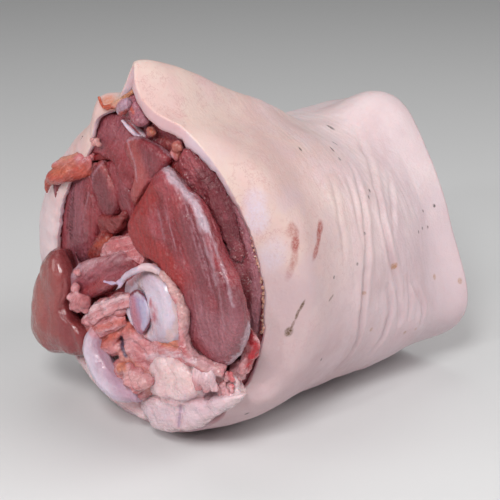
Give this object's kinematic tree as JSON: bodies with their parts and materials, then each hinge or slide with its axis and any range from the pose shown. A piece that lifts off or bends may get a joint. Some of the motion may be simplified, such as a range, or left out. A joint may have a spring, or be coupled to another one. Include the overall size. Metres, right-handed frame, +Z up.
{
  "type": "pork hock",
  "caption": "Raw pork hock lying on its side: a sleeve of rind round muscle, with the opened joint at its large end and sawn bones at its small end.",
  "frame": {"origin": "middle of the base, on the surface that the hock rests on", "axes": "+Z up; +X along the shank from the large cut end to the small sawn end; -Y is the side of the large muscle"},
  "size_m": [0.1417, 0.1334, 0.1423],
  "materials": {
    "rind": "raw scalded skin, pale pink, soft sheen",
    "bone": "wet cartilage and sawn bone, off-white",
    "meat": "raw muscle, dusty rose, moist",
    "fat": "raw fat, sinew and fascia, cream to pink, moist"
  },
  "bodies": {
    "root": {"hock": "rind", "ulna": "bone", "radius": "bone"}
  },
  "joints": []
}
